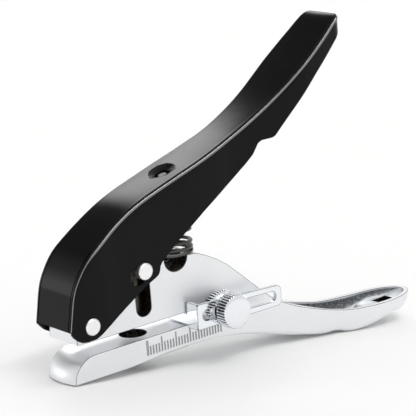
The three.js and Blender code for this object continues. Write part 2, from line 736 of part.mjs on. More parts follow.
const nut = piece('lock_nut', lockNut(), polishedChrome);
nut.position.set(GAUGE.screwX, -BODY_WIDTH / 2 - 0.3, GAUGE.screwZ);
tool.add(nut);

const shank = piece('thumb_screw_shank', screwShank(), pinSteel);
shank.position.set(GAUGE.screwX, GAUGE.outerY - 2.2, GAUGE.screwZ);
tool.add(shank);

// At rest the nose edge and the lobe under the tail both touch the ground.
const noseFrontX = NOSE_START_X - NOSE_SIDE_LENGTH - NOSE_BULGE;
tool.rotation.y = -Math.atan2(LOBE.depth - BASE_THICKNESS, LOBE.x - noseFrontX);

// The ground is z = 0, and the origin is under the middle of the tool.
const standing = new THREE.Group();
standing.add(tool);
standing.updateMatrixWorld(true);
const box = new THREE.Box3().setFromObject(standing, true);
tool.position.set(-(box.min.x + box.max.x) / 2, -(box.min.y + box.max.y) / 2, -box.min.z);

export default standing;
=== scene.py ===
"""Looks for the hand-held single-hole punch with its sliding edge gauge."""
import math

import bmesh
import bpy
from mathutils import Matrix, Vector


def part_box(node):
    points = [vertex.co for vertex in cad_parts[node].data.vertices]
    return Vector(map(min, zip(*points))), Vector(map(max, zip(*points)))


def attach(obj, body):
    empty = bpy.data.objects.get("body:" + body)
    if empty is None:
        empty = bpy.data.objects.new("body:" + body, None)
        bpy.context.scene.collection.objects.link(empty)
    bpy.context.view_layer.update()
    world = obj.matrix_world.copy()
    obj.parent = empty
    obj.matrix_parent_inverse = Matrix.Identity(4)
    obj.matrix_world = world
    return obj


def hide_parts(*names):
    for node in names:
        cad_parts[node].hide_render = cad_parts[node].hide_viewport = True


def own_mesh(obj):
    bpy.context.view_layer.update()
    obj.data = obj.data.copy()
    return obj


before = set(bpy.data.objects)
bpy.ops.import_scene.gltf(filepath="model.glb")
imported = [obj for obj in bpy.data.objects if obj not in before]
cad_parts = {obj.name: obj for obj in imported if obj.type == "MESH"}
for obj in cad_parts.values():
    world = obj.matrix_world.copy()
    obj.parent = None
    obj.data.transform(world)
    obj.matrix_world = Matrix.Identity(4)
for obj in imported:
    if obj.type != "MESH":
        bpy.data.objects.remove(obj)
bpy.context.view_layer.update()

# ---------------------------------------------------------------- the tool's own frame
# X from nose to tail, Y across, Z square to the anvil, in millimetres.  The pivot pin of the packed
# frame fixes where it is.
MM = 0.001                               # metres in a millimetre
PITCH = math.atan2(11.6, 105.1)          # nose edge and tail lobe both rest on the ground
BODY_HALF = 6.5                          # half the width of the jaws and the wall
PIVOT = Vector((-18.1, 0.0, 8.7))        # middle of the pivot pin
DRIVE = Vector((0.7, 0.0, 19.6))         # middle of the drive pin, over the punch
PIN_RADIUS = 2.35
SQUEEZE = math.radians(16)               # travel of the handle
STROKE = 6.2                             # travel of the punch
SHEET = 0.9                              # pressed sheet of the handle
SEAM = 0.35                              # gap between the front flap and each cheek

pin_low, pin_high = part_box("pivot_pin")
turned_frame = Matrix.Rotation(-PITCH, 4, "Y") @ Matrix.Scale(MM, 4)
TOOL = Matrix.Translation((pin_low + pin_high) / 2 - turned_frame @ PIVOT) @ turned_frame


# ---------------------------------------------------------------- mesh helpers
def smooth_step(t):
    """0 up to t = 0, 1 from t = 1, smooth between."""
    t = min(max(t, 0.0), 1.0)
    return t * t * (3 - 2 * t)


def curve_through(points):
    """Smooth interpolating function of the first coordinate through [a, b] points."""
    def value(a):
        i = 0
        while i < len(points) - 2 and a > points[i + 1][0]:
            i += 1

        def slope(k):
            lo, hi = max(k - 1, 0), min(k + 1, len(points) - 1)
            return (points[hi][1] - points[lo][1]) / (points[hi][0] - points[lo][0])

        span = points[i + 1][0] - points[i][0]
        t = min(max((a - points[i][0]) / span, 0.0), 1.0)
        h00 = (1 + 2 * t) * (1 - t) ** 2
        h10 = t * (1 - t) ** 2
        h01 = t * t * (3 - 2 * t)
        h11 = t * t * (t - 1)
        start = h00 * points[i][1] + h10 * span * slope(i)
        return start + h01 * points[i + 1][1] + h11 * span * slope(i + 1)
    return value


def object_from(name, verts, faces, material, second=None, in_second=None):
    """A mesh object from tool-frame millimetres; faces that in_second picks get the second material."""
    mesh = bpy.data.meshes.new(name)
    mesh.from_pydata([tuple(v) for v in verts], [], faces)
    if second:
        for polygon in mesh.polygons:
            polygon.material_index = 1 if in_second(polygon.index) else 0
    mesh.transform(TOOL)
    mesh.update()
    obj = bpy.data.objects.new(name, mesh)
    bpy.context.scene.collection.objects.link(obj)
    mesh.materials.append(material)
    if second:
        mesh.materials.append(second)
    fix = bmesh.new()
    fix.from_mesh(mesh)
    bmesh.ops.remove_doubles(fix, verts=fix.verts, dist=1e-7)
    bmesh.ops.recalc_face_normals(fix, faces=fix.faces)
    fix.to_mesh(mesh)
    fix.free()
    mesh.polygons.foreach_set("use_smooth", [True] * len(mesh.polygons))
    return obj


def split_at(obj, degrees):
    """Smooth shading that stops at edges sharper than this."""
    split = obj.modifiers.new("crease", "EDGE_SPLIT")
    split.split_angle = math.radians(degrees)


def keep_modifiers_applied(obj):
    """Replaces the mesh by what its modifiers make of it."""
    bpy.context.view_layer.update()
    evaluated = obj.evaluated_get(bpy.context.evaluated_depsgraph_get())
    mesh = bpy.data.meshes.new_from_object(evaluated)
    obj.modifiers.clear()
    obj.data = mesh


def cut_with(obj, cutters):
    """Takes the cutters out of obj, then drops them."""
    for cutter in cutters:
        cut = obj.modifiers.new("cut", "BOOLEAN")
        cut.operation = "DIFFERENCE"
        cut.solver = "EXACT"
        cut.object = cutter
    keep_modifiers_applied(obj)
    for cutter in cutters:
        bpy.data.objects.remove(cutter)


def prism_across(name, outline, half, material):
    """An outline in the tool's X-Z plane, extruded to both sides along Y."""
    n = len(outline)
    verts = [(x, -half, z) for x, z in outline] + [(x, half, z) for x, z in outline]
    faces = [[i, (i + 1) % n, (i + 1) % n + n, i + n] for i in range(n)]
    faces += [list(range(n)), list(range(2 * n - 1, n - 1, -1))]
    return object_from(name, verts, faces, material)


def rings_to_faces(count, rings, closed_ends=True):
    """Quads between successive rings of count points, and a face over each end."""
    faces = []
    for r in range(rings - 1):
        for i in range(count):
            j = (i + 1) % count
            faces.append([r * count + i, r * count + j, (r + 1) * count + j, (r + 1) * count + i])
    if closed_ends:
        faces.append(list(range(count - 1, -1, -1)))
        faces.append([(rings - 1) * count + i for i in range(count)])
    return faces


# ---------------------------------------------------------------- node helpers
class Nodes:
    """Short names for building a material's node tree."""

    def __init__(self, name):
        self.material = bpy.data.materials.new(name)
        self.material.use_nodes = True
        self.tree = self.material.node_tree
        self.tree.nodes.clear()
        self.shader = self.new("ShaderNodeBsdfPrincipled")
        output = self.new("ShaderNodeOutputMaterial")
        self.link(self.shader.outputs["BSDF"], output.inputs["Surface"])
        self.place = self.new("ShaderNodeTexCoord").outputs["Object"]

    def new(self, kind):
        return self.tree.nodes.new(kind)

    def link(self, a, b):
        self.tree.links.new(a, b)

    def feed(self, value, socket):
        """Links an output to the socket, or sets the socket to a constant."""
        if isinstance(value, bpy.types.NodeSocket):
            self.link(value, socket)
        else:
            socket.default_value = value

    def math(self, operation, a, b=0.0, c=0.0):
        node = self.new("ShaderNodeMath")
        node.operation = operation
        for value, socket in zip((a, b, c), node.inputs):
            self.feed(value, socket)
        return node.outputs[0]

    def step(self, value, start, end):
        """0 before start and 1 after end, smooth between."""
        node = self.new("ShaderNodeMapRange")
        node.interpolation_type = "SMOOTHSTEP"
        self.feed(value, node.inputs["Value"])
        node.inputs["From Min"].default_value = start
        node.inputs["From Max"].default_value = end
        return node.outputs["Result"]

    def noise(self, per_mm, detail=3.0, stretch=(1, 1, 1)):
        """Noise of the object's own place, with about per_mm features in a millimetre."""
        mapping = self.new("ShaderNodeMapping")
        mapping.inputs["Scale"].default_value = [s * 1000 for s in stretch]
        self.link(self.place, mapping.inputs["Vector"])
        node = self.new("ShaderNodeTexNoise")
        node.inputs["Scale"].default_value = per_mm
        node.inputs["Detail"].default_value = detail
        self.link(mapping.outputs["Vector"], node.inputs["Vector"])
        return node.outputs["Fac"]

    def spread(self, value, low, high):
        """Maps 0..1 to low..high."""
        return self.math("MULTIPLY_ADD", value, high - low, low)

    def blend(self, factor, a, b):
        node = self.new("ShaderNodeMix")
        node.data_type = "RGBA"
        self.feed(factor, node.inputs[0])
        self.feed(a, node.inputs[6])
        self.feed(b, node.inputs[7])
        return node.outputs[2]

    def tool_xyz(self):
        """The place in the tool's own frame, in millimetres."""
        inverse = TOOL.inverted()
        mapping = self.new("ShaderNodeMapping")
        mapping.vector_type = "POINT"
        mapping.inputs["Location"].default_value = inverse.to_translation()
        mapping.inputs["Rotation"].default_value = inverse.to_euler()
        mapping.inputs["Scale"].default_value = inverse.to_scale()
        self.link(self.place, mapping.inputs["Vector"])
        split = self.new("ShaderNodeSeparateXYZ")
        self.link(mapping.outputs["Vector"], split.inputs["Vector"])
        return split.outputs["X"], split.outputs["Y"], split.outputs["Z"]

    def relief(self, height, depth_mm, edge_mm=0.0):
        """Bump of that depth, over edges softened by edge_mm."""
        bump = self.new("ShaderNodeBump")
        bump.inputs["Distance"].default_value = depth_mm * MM
        bump.inputs["Strength"].default_value = 1.0
        self.feed(height, bump.inputs["Height"])
        if edge_mm > 0:
            bevel = self.new("ShaderNodeBevel")
            bevel.samples = 8
            bevel.inputs["Radius"].default_value = edge_mm * MM
            self.link(bevel.outputs["Normal"], bump.inputs["Normal"])
        self.link(bump.outputs["Normal"], self.shader.inputs["Normal"])

    def near_edge(self, edge_mm):
        """1 on the sharp edges, 0 on the faces."""
        bevel = self.new("ShaderNodeBevel")
        bevel.samples = 8
        bevel.inputs["Radius"].default_value = edge_mm * MM
        dot = self.new("ShaderNodeVectorMath")
        dot.operation = "DOT_PRODUCT"
        self.link(bevel.outputs["Normal"], dot.inputs[0])
        self.link(self.new("ShaderNodeNewGeometry").outputs["Normal"], dot.inputs[1])
        return self.math("SUBTRACT", 1.0, self.step(dot.outputs["Value"], 0.93, 0.999))

    def painted_edge_reflection(self, colour, edge_mm, dark):
        """The colour with thin dark lines painted along the sharp edges, a painted dark reflection of their
        rounding.
        """
        return self.blend(self.math("MULTIPLY", self.near_edge(edge_mm), 0.95), colour, dark)

    def between(self, value, low, high):
        """1 where value lies between low and high, else 0."""
        return self.all_of(self.math("GREATER_THAN", value, low), self.math("LESS_THAN", value, high))

    def all_of(self, first, *others):
        """Product of masks."""
        for mask in others:
            first = self.math("MULTIPLY", first, mask)
        return first

    def put(self, **values):
        """Sets or links the shader's sockets; _ stands for a space in a socket's name."""
        for key, value in values.items():
            self.feed(value, self.shader.inputs[key.replace("_", " ")])


# ---------------------------------------------------------------- materials
def black_enamel(name="black_enamel", shine=0.13, index=1.5):
    """Sprayed black enamel with a slow ripple; shine and index set how strongly it reflects."""
    n = Nodes(name)
    cloud = n.noise(0.05, 2)
    flow = n.noise(0.35, 3)
    n.put(Base_Color=n.blend(cloud, (0.0016, 0.0017, 0.0020, 1), (0.0028, 0.0030, 0.0034, 1)))
    n.put(Roughness=n.spread(flow, 0.13, 0.18))
    n.put(Specular_IOR_Level=shine, IOR=index)
    n.relief(flow, 0.012)
    return n.material


# Where painted shade darkens the satin plating of the lower frame, in the tool's frame.
RIM_LEVEL_X = 90.0                       # the tail's rim is level behind this
RIM_Z = -12.5                            # height of its level part
RIM_RUN, RIM_RISE = 32.0, 6.6            # ahead of it the rim climbs as a parabola: so high so far ahead
RIM_FADE = (0.15, 0.55)                  # depth under the rim over which the cast surface starts
HOLLOW_START_X = 55.5
HOLLOW_ROUND_X = 89.5                    # behind this the hollow closes in a half ellipse
HOLLOW_ROUND_LENGTH = 13.6
HOLLOW_HALF = 6.4
# the recess is painted dark as shade
HANG_RECESS_X = (93.18, 98.62)           # small recess in the floor of the hollow
HANG_RECESS_HALF = 2.82
HANG_RECESS_TOP = -13.2
# the bore, the die hole and the pocket are painted dark inside as shade
BORE_HALF = 4.1                          # the punch's bore, and the hole through the base under it
BORE_BOTTOM = 3.82
DIE_Z = (-6.3, -0.12)
DIE_HALF = 5.4
POCKET_X = (8.73, 16.97)                 # pocket for the closed coils of the spring
POCKET_FLOOR = 15.9
# painted shade: the wall there is coloured dark for the depth behind the cheek's slot
CHEEK_SLOT_X = (-5.5, -1.7)              # wall behind the part of the cheek's slot that the pin leaves open
CHEEK_SLOT_Z = (15.0, 23.0)


def satin_chrome():
    """Bright satin plating with painted shade: the rough cast walls of the tail hollow are painted darker
    than its floor, with painted mottled reflections, and the cut cavities are painted near black.

    A dark patch on the wall is painted shade for the depth behind the open part of the cheek's slot; the
    recess in the hollow's floor is painted dark as shade too.
    """
    n = Nodes("satin_chrome")
    x, y, z = n.tool_xyz()
    side = n.math("ABSOLUTE", y)

    ahead_of_rim = n.math("MAXIMUM", n.math("SUBTRACT", RIM_LEVEL_X, x), 0.0)
    climb = n.math("POWER", n.math("MULTIPLY", ahead_of_rim, 1 / RIM_RUN), 2.0)
    rim = n.math("MULTIPLY_ADD", climb, RIM_RISE, RIM_Z)
    below_rim = n.step(n.math("SUBTRACT", rim, z), *RIM_FADE)
    in_round = n.math("MAXIMUM", n.math("SUBTRACT", x, HOLLOW_ROUND_X), 0.0)
    along = n.math("POWER", n.math("MULTIPLY", in_round, 1 / HOLLOW_ROUND_LENGTH), 2.0)
    across = n.math("POWER", n.math("MULTIPLY", side, 1 / HOLLOW_HALF), 2.0)
    in_plan = n.math("LESS_THAN", n.math("ADD", along, across), 1.0)
    past_start = n.math("GREATER_THAN", x, HOLLOW_START_X)
    normal = n.new("ShaderNodeSeparateXYZ")
    n.link(n.new("ShaderNodeTexCoord").outputs["Normal"], normal.inputs["Vector"])
    not_under = n.math("GREATER_THAN", normal.outputs["Z"], -0.3)
    hollow = n.all_of(below_rim, in_plan, past_start, not_under)
    wall_of_hollow = n.math("SUBTRACT", 1.0, n.step(normal.outputs["Z"], 0.66, 0.93))
    in_recess = n.all_of(n.between(x, *HANG_RECESS_X), n.math("LESS_THAN", side, HANG_RECESS_HALF))
    recess = n.all_of(in_recess, n.math("LESS_THAN", z, HANG_RECESS_TOP), hollow)

    inside = n.math("SUBTRACT", 1.0, n.step(side, BODY_HALF - 0.28, BODY_HALF - 0.1))
    over_die = n.between(x, DRIVE.x - BORE_HALF, DRIVE.x + BORE_HALF)
    bore = n.all_of(over_die, n.math("GREATER_THAN", z, BORE_BOTTOM))
    pocket = n.all_of(n.between(x, *POCKET_X), n.math("GREATER_THAN", z, POCKET_FLOOR))
    die = n.all_of(over_die, n.between(z, *DIE_Z), n.math("LESS_THAN", side, DIE_HALF))
    cut = n.all_of(inside, n.math("MAXIMUM", n.math("MAXIMUM", bore, pocket), die))
    # painted shade: a dark patch on the wall behind the open part of the cheek's slot
    behind_cheek = n.all_of(n.between(x, *CHEEK_SLOT_X), n.between(z, *CHEEK_SLOT_Z))
    cavity = n.math("MAXIMUM", cut, behind_cheek)

    mottle = n.noise(1.3, 5, (1, 1, 1.6))
    grain = n.noise(0.5, 3)
    drift = n.noise(0.07, 2)
    painted_mottle = n.step(mottle, 0.4, 0.66)
    plate = n.blend(drift, (0.83, 0.84, 0.86, 1), (0.88, 0.89, 0.905, 1))
    # painted shade: the hollow's walls are coloured darker than its floor, with painted mottled reflections,
    # over its rough cast surface
    hollow_painted_shade = n.blend(painted_mottle, (0.11, 0.118, 0.126, 1), (0.27, 0.285, 0.30, 1))
    cast = n.blend(wall_of_hollow, (0.80, 0.82, 0.84, 1), hollow_painted_shade)
    colour = n.blend(hollow, plate, cast)
    # painted shade: near black for the cut cavities, the patch of wall behind the cheek's slot and the
    # hollow's recess
    cavity_painted_shade = n.blend(painted_mottle, (0.020, 0.018, 0.015, 1), (0.10, 0.09, 0.078, 1))
    colour = n.blend(n.math("MAXIMUM", cavity, recess), colour, cavity_painted_shade)
    # thin dark lines painted along the edges as their dark reflection
    colour = n.painted_edge_reflection(colour, 0.34, (0.05, 0.053, 0.06, 1))
    n.put(Base_Color=colour, Metallic=1.0)
    anvil = n.math("LESS_THAN", n.math("ABSOLUTE", z), 0.12)
    rough_plate = n.math("SUBTRACT", n.spread(grain, 0.39, 0.43), n.math("MULTIPLY", anvil, 0.1))
    rougher = n.math("MULTIPLY", n.math("MAXIMUM", hollow, cavity), 0.12)
    n.put(Roughness=n.math("ADD", rough_plate, rougher))
    n.relief(n.math("MULTIPLY", mottle, hollow), 0.12, 0.2)
    return n.material


def polished_chrome():
    """Smooth plating of the gauge, with faint drawn lines, and thin dark lines painted along its edges as
    their reflection.
    """
    n = Nodes("polished_chrome")
    drift = n.noise(0.12, 2)
    lines = n.noise(1.2, 3, (0.25, 1, 3))
    plate = n.blend(drift, (0.84, 0.87, 0.91, 1), (0.91, 0.93, 0.95, 1))
    n.put(Base_Color=n.painted_edge_reflection(plate, 0.28, (0.06, 0.065, 0.075, 1)), Metallic=1.0)
    n.put(Roughness=n.spread(lines, 0.1, 0.17))
    n.relief(lines, 0.004, 0.14)
    return n.material


def knurl_chrome():
    """Plating on the faces and ridges of the knurled pieces."""
    n = Nodes("knurl_chrome")
    grain = n.noise(2.4, 3)
    n.put(Base_Color=n.blend(grain, (0.82, 0.84, 0.88, 1), (0.91, 0.92, 0.94, 1)), Metallic=1.0)
    n.put(Roughness=n.spread(grain, 0.13, 0.2))
    n.relief(grain, 0.004, 0.05)
    return n.material


def groove_painted_shade():
    """Painted shade at the bottom of the cut grooves."""
    n = Nodes("groove_painted_shade")
    grain = n.noise(2.0, 3)
    n.put(Base_Color=n.blend(grain, (0.012, 0.012, 0.012, 1), (0.045, 0.043, 0.04, 1)), Metallic=0.7)
    n.put(Roughness=n.spread(grain, 0.35, 0.5))
    n.relief(grain, 0.01)
    return n.material


def pin_steel():
    """Bare bright steel of the pins, with rings left by turning."""
    n = Nodes("pin_steel")
    rings = n.noise(2.2, 2, (1, 0.2, 1))
    n.put(Base_Color=n.blend(rings, (0.88, 0.88, 0.88, 1), (0.96, 0.96, 0.96, 1)), Metallic=1.0)
    n.put(Roughness=n.spread(rings, 0.34, 0.46))
    n.relief(rings, 0.004, 0.12)
    return n.material


def tool_steel():
    """Dark hardened steel with streaks along the punch."""
    n = Nodes("tool_steel")
    streak = n.noise(0.8, 4, (1, 1, 0.12))
    n.put(Base_Color=n.blend(streak, (0.022, 0.019, 0.016, 1), (0.12, 0.105, 0.09, 1)), Metallic=1.0)
    n.put(Roughness=n.spread(streak, 0.28, 0.42))
    n.relief(streak, 0.01, 0.1)
    return n.material


def spring_steel():
    """Dark oiled spring wire."""
    n = Nodes("spring_steel")
    streak = n.noise(1.1, 3)
    n.put(Base_Color=n.blend(streak, (0.045, 0.043, 0.04, 1), (0.13, 0.125, 0.12, 1)), Metallic=1.0)
    n.put(Roughness=n.spread(streak, 0.2, 0.3))
    n.relief(streak, 0.006)
    return n.material


def ruler_groove_shade():
    """Grey painted shade in the scale's engraved grooves, its tone varying at random."""
    n = Nodes("ruler_groove_shade")
    shade_tone = n.noise(2.5, 4)
    n.put(Base_Color=n.blend(shade_tone, (0.30, 0.31, 0.32, 1), (0.46, 0.47, 0.48, 1)))
    n.put(Roughness=n.spread(shade_tone, 0.45, 0.6))
    n.relief(shade_tone, 0.01)
    return n.material


ENAMEL = black_enamel()
FOLD_ENAMEL = black_enamel("fold_enamel", 1.0, 2.1)      # thin and glossy where the sheet is bent
SATIN = satin_chrome()
POLISHED = polished_chrome()
KNURL = knurl_chrome()
GROOVE = groove_painted_shade()
PINS = pin_steel()
STEEL = tool_steel()
SPRING = spring_steel()
RULER_SHADE = ruler_groove_shade()


# ---------------------------------------------------------------- CAD pieces that stay
CREASE = 32                              # degrees; a sharper edge of a CAD piece stays sharp
WELD = 2e-6                              # metres; joins the CAD triangles' corners
CAD_LOOKS = {
    "lower_frame": SATIN,
    "die_bush": STEEL,
    "punch": STEEL,
    "spring_seat": SPRING,
    "spring_stud": STEEL,
    "pivot_pin": PINS,
    "drive_pin": PINS,
    "gauge_plate": POLISHED,
    "thumb_screw_shank": PINS,
}


def finish_cad(node, material):
    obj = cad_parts[node]
    for slot in obj.material_slots:
        slot.material = material
    obj.data.polygons.foreach_set("use_smooth", [True] * len(obj.data.polygons))
    weld = obj.modifiers.new("weld", "WELD")
    weld.merge_threshold = WELD
    split_at(obj, CREASE)


for cad_node, look in CAD_LOOKS.items():
    finish_cad(cad_node, look)


# ---------------------------------------------------------------- pressed handle
# The top of the sheet along the middle, X and Z, from the foot of the front flap to the tip.
TOP_LINE = [
    (-25.2, 8.6), (-24.6, 11.8), (-23.2, 18.2), (-21.2, 22.4), (-18, 26.6), (-14, 30.0), (-6, 35.3),
    (2, 39.1), (14, 43.1), (26, 46.9), (38, 51.5), (50, 57.9), (62, 66.2), (70, 72.2), (77.2, 77.7),
    (78.6, 76.5), (78.25, 73.9),
]
# The cheek's lower edge: how far along the top line its section starts, then X and Z.
LOWER_EDGE = [
    (0, -25.0, 8.1), (0.6, -23.9, 6.7), (1.2, -22.9, 5.7), (2, -21.6, 5.0), (3, -19.8, 4.8),
    (4, -17.0, 4.95), (4.4, -15.2, 5.75), (5, -12.0, 7.6), (6, -5.2, 11.5), (6.9, 1.4, 15.3),
    (7.2, 4.6, 16.7), (7.3, 5.7, 17.3), (7.38, 6.2, 18.2), (7.46, 6.5, 19.6), (7.55, 7.2, 20.5),
    (8, 12.8, 24.8), (9, 23.4, 31.6), (10, 34.5, 38.1), (10.4, 39.3, 41.2), (10.7, 42.7, 43.8),
    (10.8, 43.8, 45.7), (10.87, 44.7, 46.8), (10.95, 46.0, 47.1), (11.1, 49.2, 47.0), (11.2, 50.5, 47.4),
    (11.45, 53.9, 50.7), (12, 60.1, 56.5), (12.6, 66.1, 62.4), (13.3, 72.6, 68.2), (14, 76.6, 71.9),
    (15, 77.9, 73.0), (16, 78.15, 73.5),
]
LAST_WIDTH_X = 75.0
half_width = curve_through([             # X and half the width, without the tip's rounding
    (-30, 8.35), (-23, 8.4), (-18, 8.6), (-13, 8.55), (-8, 8.15), (-2, 7.98), (10, 7.92), (20, 7.92),
    (28, 7.62), (35, 7.15), (42, 7.3), (50, 7.87), (58, 8.75), (62, 9.05), (66, 8.96), (70, 8.65),
    (LAST_WIDTH_X, 8.0),
])
TIP_X = 78.6
TIP_ROUND = 3.8
SEAM_OUTER_Y = 7.45                      # between the folded front flap and each cheek
SEAM_END = 4.6                           # along the top line
SEAM_DEPTH = 0.6
FOLD_RADIUS = (0.5, 1.15)                # at the front flap, and further back
CROWN = 0.12                             # rise of the sheet's middle over its folds
CHEEK_ROWS = 7
FOLD_ROWS = 6
TOP_ROWS = 6
INNER_ROWS = 4
SECTIONS = 180
CUTTER_HALF = 12                         # cutters run past both cheeks


def spline(points, t):
    """Catmull-Rom through the points; t counts points."""
    i = min(max(int(t), 0), len(points) - 2)
    u = t - i
    p0, p1, p2, p3 = (Vector(points[min(max(i + k, 0), len(points) - 1)]) for k in (-1, 0, 1, 2))
    v0, v1 = (p2 - p0) / 2, (p3 - p1) / 2
    cubic = 2 * p1 - 2 * p2 + v0 + v1
    square = -3 * p1 + 3 * p2 - 2 * v0 - v1
    return cubic * u ** 3 + square * u ** 2 + v0 * u + p1


def lower_edge(t):
    """The cheek's lower edge for the section that starts t points along the top line."""
    i = 0
    while i < len(LOWER_EDGE) - 2 and t > LOWER_EDGE[i + 1][0]:
        i += 1
    a, b = LOWER_EDGE[i], LOWER_EDGE[i + 1]
    u = min(max((t - a[0]) / (b[0] - a[0]), 0.0), 1.0)
    return Vector(a[1:]).lerp(Vector(b[1:]), u)


def width_at(x):
    """Half the handle's width, with the tip's rounded plan corners."""
    half = half_width(min(x, LAST_WIDTH_X))
    over = min(max(x - (TIP_X - TIP_ROUND), 0.0), TIP_ROUND * 0.98)
    return half - (TIP_ROUND - math.sqrt(TIP_ROUND ** 2 - over ** 2))


def handle_section(t):
    """One closed U-shaped section of the sheet, t points along the top line.

    It runs over the outside from the near cheek to the far one, then back along the inside.
    """
    top = spline(TOP_LINE, t)
    ahead = spline(TOP_LINE, min(t + 0.03, len(TOP_LINE) - 1)) - spline(TOP_LINE, max(t - 0.03, 0))
    out = Vector((-ahead.y, ahead.x)).normalized()
    low = lower_edge(t)
    height = (top - low).length
    front_fold, back_fold = FOLD_RADIUS
    fold = min(front_fold + (back_fold - front_fold) * smooth_step((t - 3.6) / 1.6), 0.45 * height)
    skin = min(SHEET, 0.45 * height)
    groove = SEAM_DEPTH * (1 - smooth_step((t - SEAM_END) / 0.15)) * min(height / 2, 1.0)
    crown = CROWN * smooth_step((t - 5) / 2) * (1 - smooth_step((t - 13.6) / 0.6))
    half_top = width_at(top.x) - fold
    seam = min(SEAM_OUTER_Y, half_top - 0.03)
    half = []                            # one side of the outside, from the foot to the middle
    foot = top - out * fold
    for k in range(CHEEK_ROWS + 1):
        point = low.lerp(foot, k / CHEEK_ROWS)
        half.append((point, width_at(point.x)))
    for k in range(1, FOLD_ROWS + 1):
        a = math.pi / 2 * k / FOLD_ROWS
        half.append((foot + out * fold * math.sin(a), half_top + fold * math.cos(a)))
    half.append((top, seam))
    half.append((top - out * groove, seam))
    half.append((top - out * groove, seam - SEAM))
    half.append((top, seam - SEAM))
    for k in range(1, TOP_ROWS):
        y = (seam - SEAM) * (1 - k / TOP_ROWS)
        half.append((top + out * crown * (1 - (y / half_top) ** 2), y))
    outside = [(p, -y) for p, y in half] + [(top + out * crown, 0.0)] + [(p, y) for p, y in reversed(half)]

    inner_top = top - out * skin
    inner = []                           # one side of the inside, from the foot to the top
    for k in range(INNER_ROWS + 1):
        point = low.lerp(inner_top, k / INNER_ROWS)
        inner.append((point, max(width_at(point.x) - skin, 0.2)))
    inside = [(p, y) for p, y in inner] + [(inner_top, 0.0)] + [(p, -y) for p, y in reversed(inner)]
    return [Vector((p.x, y, p.y)) for p, y in outside + inside]


PIVOT_PLAY = 0.1                         # between the cheek's holes and the pins
DRIVE_PLAY = 0.25
DIMPLE_PLACE = Vector((15.2, 0, 43.5))
DIMPLE_LEAN = math.radians(17)           # square to the top sheet
# Height over the sheet and radius, from the bottom of the hole to clear above the sheet.
DIMPLE_PROFILE = (
    (-2.3, 2.0), (-0.9, 2.05), (-0.6, 2.35), (-0.35, 2.75), (-0.15, 3.2), (0.02, 3.75), (0.7, 5.0),
)


def round_outline(centre, radius, count=40):
    return [(centre[0] + radius * math.cos(2 * math.pi * k / count),
             centre[1] + radius * math.sin(2 * math.pi * k / count)) for k in range(count)]


def drive_slot_outline():
    """Hull of the places the drive pin takes as seen from the handle."""
    radius = PIN_RADIUS + DRIVE_PLAY
    arc_steps = 16
    ends = []
    for share in (0.0, 1.0):
        turn = SQUEEZE * share
        dx, dz = DRIVE.x - PIVOT.x, DRIVE.z - STROKE * share - PIVOT.z
        ends.append(Vector((PIVOT.x + dx * math.cos(turn) - dz * math.sin(turn),
                            PIVOT.z + dx * math.sin(turn) + dz * math.cos(turn))))
    along = math.atan2(ends[1].y - ends[0].y, ends[1].x - ends[0].x)
    outline = []
    for end, start in ((ends[0], along + math.pi / 2), (ends[1], along - math.pi / 2)):
        for k in range(arc_steps + 1):
            a = start + math.pi * k / arc_steps
            outline.append((end.x + radius * math.cos(a), end.y + radius * math.sin(a)))
    return outline


def dimple_cutter():
    """Dished hole square to the top sheet, around the stud's riveted end."""
    count = 48
    axis = Vector((-math.sin(DIMPLE_LEAN), 0, math.cos(DIMPLE_LEAN)))
    side = Vector((math.cos(DIMPLE_LEAN), 0, math.sin(DIMPLE_LEAN)))
    verts = []
    for height, radius in DIMPLE_PROFILE:
        for k in range(count):
            a = 2 * math.pi * k / count
            out = side * radius * math.cos(a) + Vector((0, radius * math.sin(a), 0))
            verts.append(DIMPLE_PLACE + axis * height + out)
    return object_from("dimple_cutter", verts, rings_to_faces(count, len(DIMPLE_PROFILE)), ENAMEL)


def build_handle():
    """Bends the sheet section by section, then cuts the pin holes and the dimple."""
    sections = [handle_section((len(TOP_LINE) - 1) * k / SECTIONS) for k in range(SECTIONS + 1)]
    count = len(sections[0])
    verts = [point for section in sections for point in section]
    faces = rings_to_faces(count, len(sections))
    first_end = count * (len(sections) - 1)

    def on_near_fold(index):
        """The strips of the near fold next to its cheek."""
        return index < first_end and CHEEK_ROWS + 1 <= index % count < CHEEK_ROWS + 3

    obj = object_from("handle_shell", verts, faces, ENAMEL, FOLD_ENAMEL, on_near_fold)
    cut_with(obj, [
        prism_across("pivot_cutter", round_outline((PIVOT.x, PIVOT.z), PIN_RADIUS + PIVOT_PLAY), CUTTER_HALF,
                     ENAMEL),
        prism_across("drive_cutter", drive_slot_outline(), CUTTER_HALF, ENAMEL),
        dimple_cutter(),
    ])
    obj.data.polygons.foreach_set("use_smooth", [True] * len(obj.data.polygons))
    split_at(obj, 38)
    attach(obj, "handle")
    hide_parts("upper_handle")


build_handle()


# ---------------------------------------------------------------- return spring
WIRE_RADIUS = 0.55
SEATED = {"x": 13.1, "radius": 2.1, "bottom": 18.2, "turns": 1.5, "pitch": 1.12}
OPENING_TURNS = 0.5                      # the wire runs from the small coils out to the wide ones
OPEN_TURNS = 5.5
OPEN_RADIUS = 6.0
OPEN_X = 16.0
OPEN_BOTTOM = 21.3
SPRING_TOP = 37.6


